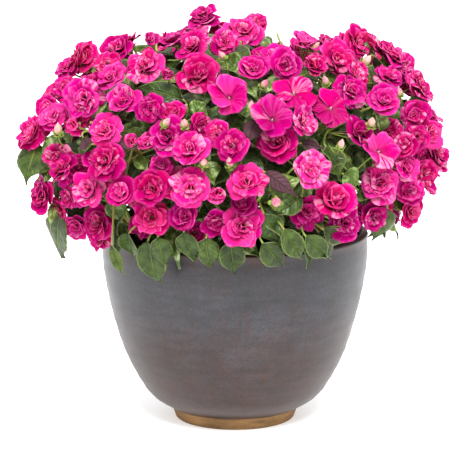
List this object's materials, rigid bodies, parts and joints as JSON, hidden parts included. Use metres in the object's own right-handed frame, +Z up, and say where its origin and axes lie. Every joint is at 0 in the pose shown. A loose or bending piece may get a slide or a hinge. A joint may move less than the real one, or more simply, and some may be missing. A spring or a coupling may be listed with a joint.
{
  "type": "potted busy lizzie",
  "caption": "Bushy double-flowered pink busy lizzie in a bowl-shaped glazed stoneware pot with a bare foot ring, standing on its foot.",
  "frame": {"origin": "middle of the foot ring's underside, where the pot rests", "axes": "+Z up along the pot's axis, front of the plant towards -Y"},
  "size_m": [0.4272, 0.4137, 0.4056],
  "materials": {
    "stoneware_glaze": "gloss",
    "potting_soil": "matte",
    "petal": "satin",
    "leaf": "satin",
    "stem": "satin",
    "bud": "satin"
  },
  "bodies": {
    "root": {"bud_01": "bud", "double_flower_01": "petal", "double_flower_02": "petal", "double_flower_03": "petal", "double_flower_04": "petal", "double_flower_05": "petal", "double_flower_06": "petal", "double_flower_07": "petal", "double_flower_08": "petal", "double_flower_09": "petal", "double_flower_10": "petal", "double_flower_11": "petal", "double_flower_12": "petal", "double_flower_13": "petal", "double_flower_14": "petal", "double_flower_15": "petal", "double_flower_16": "petal", "double_flower_17": "petal", "double_flower_18": "petal", "double_flower_19": "petal", "double_flower_20": "petal", "double_flower_21": "petal", "double_flower_22": "petal", "double_flower_23": "petal", "double_flower_24": "petal", "double_flower_25": "petal", "double_flower_26": "petal", "double_flower_27": "petal", "double_flower_28": "petal", "double_flower_29": "petal", "leaf_01": "leaf", "leaf_02": "leaf", "leaf_03": "leaf", "leaf_04": "leaf", "leaf_05": "leaf", "leaf_06": "leaf", "leaf_07": "leaf", "leaf_08": "leaf", "leaf_09": "leaf", "leaf_10": "leaf", "leaf_11": "leaf", "pot": "stoneware_glaze", "potting_soil": "potting_soil", "single_flower_01": "petal", "single_flower_02": "petal", "single_flower_03": "petal", "stem_01": "stem", "stem_02": "stem", "stem_03": "stem", "stem_04": "stem", "stem_05": "stem", "stem_06": "stem", "stem_07": "stem", "stem_08": "stem", "stem_09": "stem", "stem_10": "stem", "stem_11": "stem", "stem_12": "stem"}
  },
  "joints": []
}
